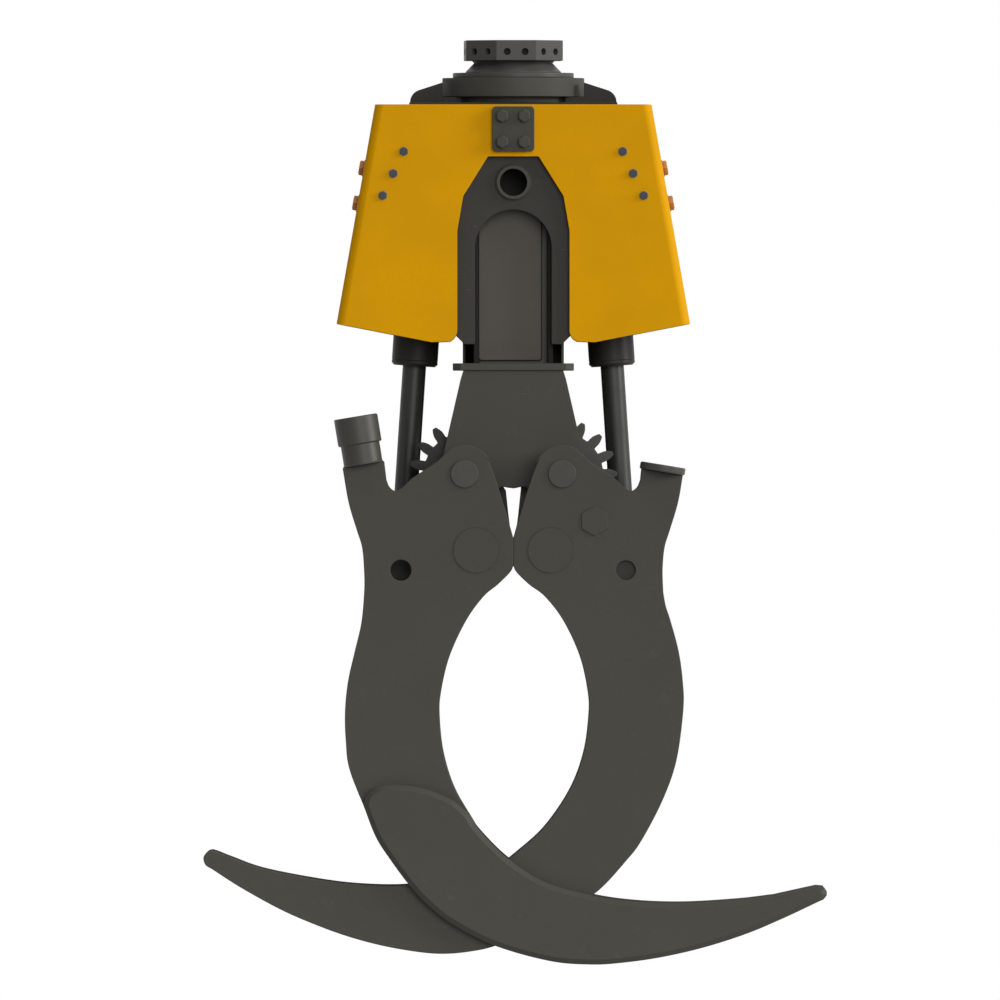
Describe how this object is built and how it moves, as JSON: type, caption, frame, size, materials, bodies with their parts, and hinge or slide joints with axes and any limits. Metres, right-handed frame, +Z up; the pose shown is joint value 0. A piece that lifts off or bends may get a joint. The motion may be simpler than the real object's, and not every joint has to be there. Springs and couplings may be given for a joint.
{
  "type": "log grapple",
  "caption": "Hydraulic log grapple: swivel head, guarded housing, geared arms with crossing curved tines and cylinders that close them.",
  "frame": {"origin": "centre of the swivel head's flat top face", "axes": "+Z up along the swivel axis, X across the two arms, +Y through the grapple to the rear, parallel to the arm pivots"},
  "size_m": [1.2443, 0.478, 1.846],
  "materials": {
    "head_steel": "grey, semi-gloss",
    "dark_steel": "dark grey paint, satin",
    "housing_steel": "dark grey paint, satin",
    "guard_yellow": "signal yellow paint, satin",
    "cylinder_black": "near-black paint, satin",
    "rod_steel": "hard-chromed, polished",
    "pin_steel": "blackened steel",
    "bumper_grey": "dark grey paint"
  },
  "bodies": {
    "head": {"head_block": "head_steel", "swivel_shaft": "head_steel"},
    "housing": {"retainer_ring": "housing_steel", "slewing_ring": "housing_steel", "top_deck": "housing_steel", "arch_plate_front": "housing_steel", "arch_plate_rear": "housing_steel", "boss_tube": "housing_steel", "column_box": "housing_steel", "column_cover_front": "housing_steel", "column_cover_rear": "housing_steel", "left_side_plate": "housing_steel", "right_side_plate": "housing_steel", "left_leg_web": "housing_steel", "right_leg_web": "housing_steel", "flange_plate": "housing_steel", "frame_plate_front": "housing_steel", "frame_plate_rear": "housing_steel", "frame_core": "housing_steel", "left_top_pin": "pin_steel", "right_top_pin": "pin_steel", "guard_front": "guard_yellow", "guard_rear": "guard_yellow", "clamp_plate_front": "dark_steel", "clamp_plate_rear": "dark_steel", "left_guard_bracket": "housing_steel", "right_guard_bracket": "housing_steel"},
    "left_arm": {"left_arm_plate_front": "dark_steel", "left_arm_plate_rear": "dark_steel", "left_gear_front": "dark_steel", "left_gear_rear": "dark_steel", "left_pivot_shaft": "dark_steel", "left_torque_tube": "dark_steel", "left_rod_pin": "pin_steel", "left_arm_web": "dark_steel", "left_cross_tube": "dark_steel", "left_tine_front": "dark_steel", "left_tine_rear": "dark_steel", "left_bumper_front": "bumper_grey", "left_bumper_rear": "bumper_grey"},
    "left_rod": {"left_rod": "rod_steel", "left_piston": "rod_steel"},
    "left_barrel": {"left_barrel": "cylinder_black", "left_gland": "cylinder_black"},
    "right_arm": {"right_arm_plate_front": "dark_steel", "right_arm_plate_rear": "dark_steel", "right_gear_front": "dark_steel", "right_gear_rear": "dark_steel", "right_pivot_shaft": "dark_steel", "right_torque_tube": "dark_steel", "right_rod_pin": "pin_steel", "right_arm_web": "dark_steel", "right_cross_tube": "dark_steel", "right_spreader": "dark_steel", "right_stop_disc_front": "bumper_grey", "right_stop_disc_rear": "bumper_grey"},
    "right_rod": {"right_rod": "rod_steel", "right_piston": "rod_steel"},
    "right_barrel": {"right_barrel": "cylinder_black", "right_gland": "cylinder_black"}
  },
  "joints": [
    {"name": "swivel", "type": "hinge", "parent": "head", "child": "housing", "pos_m": [0, 0, -0.0753], "axis": [0, 0, 1], "continuous": true},
    {"name": "left_arm_pivot", "type": "hinge", "parent": "housing", "child": "left_arm", "pos_m": [-0.0975, 0, -0.867], "axis": [0, 1, 0], "range_deg": [0, 65]},
    {"name": "right_arm_pivot", "type": "hinge", "parent": "housing", "child": "right_arm", "pos_m": [0.0975, 0, -0.867], "axis": [0, 1, 0], "range_deg": [-65, 0]},
    {"name": "left_rod_pivot", "type": "hinge", "parent": "left_arm", "child": "left_rod", "pos_m": [-0.2245, 0, -1.059], "axis": [0, 1, 0], "range_deg": [-53.47, 0]},
    {"name": "left_stroke", "type": "slide", "parent": "left_rod", "child": "left_barrel", "axis": [-0.0656, 0, -0.9978], "range_m": [0, 0.19836]},
    {"name": "right_rod_pivot", "type": "hinge", "parent": "right_arm", "child": "right_rod", "pos_m": [0.2245, 0, -1.059], "axis": [0, 1, 0], "range_deg": [0, 53.47]},
    {"name": "right_stroke", "type": "slide", "parent": "right_rod", "child": "right_barrel", "axis": [0.0656, 0, -0.9978], "range_m": [0, 0.19836]}
  ],
  "couplings": [
    {"joint": "right_arm_pivot", "follows": "left_arm_pivot", "ratio": -1},
    {"joint": "left_rod_pivot", "follows": "left_arm_pivot", "ratio": -0.818},
    {"joint": "left_stroke", "follows": "left_arm_pivot", "m_per_rad": 0.1745},
    {"joint": "right_rod_pivot", "follows": "left_arm_pivot", "ratio": 0.818},
    {"joint": "right_stroke", "follows": "left_arm_pivot", "m_per_rad": 0.1745}
  ]
}
